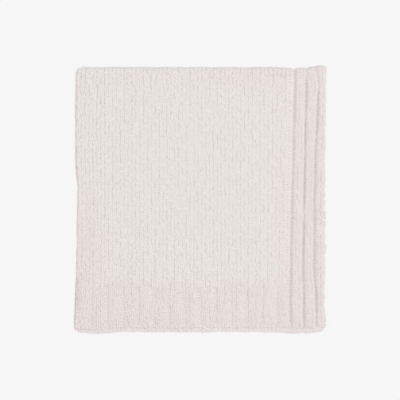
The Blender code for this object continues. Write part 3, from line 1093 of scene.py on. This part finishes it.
# %% [markdown]
# ## The chenille yarn
#
# Chenille is a core thread with a short, dense pile standing out of it all round, like a
# pipe cleaner. The pile scatters light, so the yarn looks soft and matt, with a pale bloom
# where it turns away from the eye, which a sheen gives. Its colour is an undyed off-white in
# soft patches, since no two lengths of yarn take the wash alike. It is warmer in the ribs.
# Painted shade darkens it in the grooves and along the folds, by the shares that are stored
# on the points. The bump has two scales: tufts of pile about 0.8 mm apart, and lumps in the
# yarn every 3 mm.

# %% Helpers for materials
MIX_SHARE, MIX_LOW, MIX_HIGH, MIX_RESULT = 0, 6, 7, 2


def linear_colour(code):
    """Linear colour of an sRGB hex code."""
    shares = [int(code[i:i + 2], 16) / 255 for i in (1, 3, 5)]
    linear = [((share + 0.055) / 1.055) ** 2.4 for share in shares]
    return (*linear, 1.0)


def add_node(tree, kind, settings=None, inputs=None):
    """Add a node. settings are its properties, inputs its values or the sockets it reads."""
    node = tree.nodes.new(kind)
    for name, value in (settings or {}).items():
        setattr(node, name, value)
    for name, value in (inputs or {}).items():
        if isinstance(value, bpy.types.NodeSocket):
            tree.links.new(value, node.inputs[name])
        else:
            node.inputs[name].default_value = value
    return node


print("linear values of the off-white:", np.array(linear_colour("#F5EFEC")))

# %% Chenille material
PILE_SPACING, PILE_HEIGHT = 0.8 * MM, 0.28 * MM
LUMP_SPACING, LUMP_HEIGHT = 3.0 * MM, 0.6 * MM
STITCH_PATCHES = 5 * MM
WASH_PATCHES = 60 * MM


def chenille_yarn():
    """Soft off-white chenille, warmer in the ribs, with painted shade in the grooves and along the
    folds.
    """
    material = bpy.data.materials.new("off_white_chenille_yarn")
    material.use_nodes = True
    tree = material.node_tree
    shader = tree.nodes["Principled BSDF"]
    place = add_node(tree, "ShaderNodeTexCoord").outputs["Object"]

    def noise(spacing, detail):
        inputs = {"Vector": place, "Scale": 1 / spacing, "Detail": detail, "Roughness": 0.6}
        return add_node(tree, "ShaderNodeTexNoise", inputs=inputs).outputs["Fac"]

    def blend(share, low, high):
        inputs = {MIX_SHARE: share, MIX_LOW: low, MIX_HIGH: high}
        node = add_node(tree, "ShaderNodeMix", {"data_type": "RGBA"}, inputs)
        return node.outputs[MIX_RESULT]

    def bump(height, strength, distance, **under):
        inputs = {"Height": height, "Strength": strength, "Distance": distance, **under}
        return add_node(tree, "ShaderNodeBump", inputs=inputs).outputs["Normal"]

    tint = add_node(tree, "ShaderNodeAttribute", {"attribute_name": "rib_warmth_and_shade"}).outputs["Fac"]
    past_one = {"operation": "SUBTRACT", "use_clamp": True}
    in_groove = add_node(tree, "ShaderNodeMath", past_one, {0: tint, 1: 1.0}).outputs[0]
    patches = blend(noise(STITCH_PATCHES, 2), linear_colour("#E6E1DE"), linear_colour("#F5EFEC"))
    plain = blend(noise(WASH_PATCHES, 2), patches, linear_colour("#EDE8E4"))
    # The warmer colour of the ribs, which along the folds is painted shade.
    ribbed = blend(tint, plain, linear_colour("#EDE4E2"))
    # Painted shade: the share above 1 darkens the grooves towards #CEC4C1.
    colour = blend(in_groove, ribbed, linear_colour("#CEC4C1"))
    tree.links.new(colour, shader.inputs["Base Color"])
    lumps = bump(noise(LUMP_SPACING, 2), 0.5, LUMP_HEIGHT)
    pile = bump(noise(PILE_SPACING, 3), 0.7, PILE_HEIGHT, Normal=lumps)
    tree.links.new(pile, shader.inputs["Normal"])
    shader.inputs["Roughness"].default_value = 0.95
    shader.inputs["Specular IOR Level"].default_value = 0.2
    shader.inputs["Sheen Weight"].default_value = 0.25
    shader.inputs["Sheen Roughness"].default_value = 0.6
    return material


chenille = chenille_yarn()
all_pieces = [cloth_sheet, *stitch_pieces, *edge_pieces]
for piece in all_pieces:
    piece.data.materials.append(chenille)
print("nodes in the yarn's material:", len(chenille.node_tree.nodes))

# %% [markdown]
# ## Tying the pieces to the solid
#
# The sheet stands for the imported solid, and the stitches go with the sheet. All of them ride
# on the part's one body, so they move when it moves.

# %% Ride and replace
for piece in all_pieces:
    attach(piece, "root")
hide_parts("throw")
print("pieces that ride on the root:", len(all_pieces))

# %% [markdown]
# ## Floor, light and camera
#
# The throw was photographed straight from above, on a ground so evenly lit that it keeps
# almost no shadow, like a sheet of white acrylic with lamps behind it. So the floor here
# gives most of its own light. A wide soft light hangs overhead, and a smaller one stands to
# the right, so the right of the cloth is a little brighter. The camera has a long lens, so
# the stack's sides hardly show.

# %% Floor
FLOOR_SIZE = 8.0
FLOOR_DROP = 0.2 * MM


def backlit_ground():
    """Matt white ground, lit from behind, that keeps almost no shadow."""
    material = bpy.data.materials.new("backlit_white_acrylic")
    material.use_nodes = True
    shader = material.node_tree.nodes["Principled BSDF"]
    shader.inputs["Base Color"].default_value = linear_colour("#2C2C2C")
    shader.inputs["Roughness"].default_value = 1.0
    shader.inputs["Specular IOR Level"].default_value = 0.0
    shader.inputs["Emission Color"].default_value = (1.0, 1.0, 1.0, 1.0)
    shader.inputs["Emission Strength"].default_value = 0.9
    return material


bpy.ops.mesh.primitive_plane_add(size=FLOOR_SIZE, location=(0.0, 0.0, -FLOOR_DROP))
floor = bpy.context.object
floor.name = "floor"
floor.data.materials.append(backlit_ground())
floor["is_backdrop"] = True
print("floor's width in m:", round(floor.dimensions.x, 1))

# %% Light
scene = bpy.context.scene
scene.view_settings.view_transform = "Standard"
world = bpy.data.worlds.new("bright_surround")
world.use_nodes = True
background = world.node_tree.nodes["Background"]
background.inputs["Color"].default_value = (1.0, 1.0, 1.0, 1.0)
background.inputs["Strength"].default_value = 0.54
scene.world = world
Lamp = namedtuple("Lamp", "name power size place")
LAMPS = (
    Lamp("overhead_softbox", 30.0, 2.4, (0.1, 0.1, 2.6)),
    Lamp("right_softbox", 11.0, 1.6, (2.0, 0.3, 1.7)),
)
for lamp in LAMPS:
    data = bpy.data.lights.new(lamp.name, "AREA")
    data.energy = lamp.power
    data.size = lamp.size
    light = bpy.data.objects.new(lamp.name, data)
    light.location = lamp.place
    light.rotation_euler = (-Vector(lamp.place)).to_track_quat("-Z", "Y").to_euler()
    scene.collection.objects.link(light)
    print(lamp.name, "power in watts:", lamp.power)

# %% Camera
PICTURE_WIDTH = 611 * MM
LENS = 100.0
CAMERA_PLACE = (-0.0004, -0.0012)
camera_data = bpy.data.cameras.new("overhead_camera")
camera_data.lens = LENS
distance = PICTURE_WIDTH * LENS / camera_data.sensor_width
camera = bpy.data.objects.new("overhead_camera", camera_data)
camera.location = (*CAMERA_PLACE, 2 * HALF_STACK + distance)
scene.collection.objects.link(camera)
scene.camera = camera
print("camera height in m:", round(camera.location.z, 3))

# %% [markdown]
# ## Comparing sizes
#
# The dressed throw's box is compared with the solid's: for each axis the script prints how
# far its low and high ends lie from the solid's. The dressed throw has to stay inside the
# solid's box, apart from the little that cloth may stand proud.

# %% Print how far the two boxes differ
bpy.context.view_layer.update()
dressed_box = [list(corner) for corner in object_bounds()]
for side, name in enumerate("XYZ"):
    low = (dressed_box[0][side] - solid_box[0][side]) / MM
    high = (dressed_box[1][side] - solid_box[1][side]) / MM
    print(name, "dressed against solid, low and high, in mm:", round(low, 2), round(high, 2))
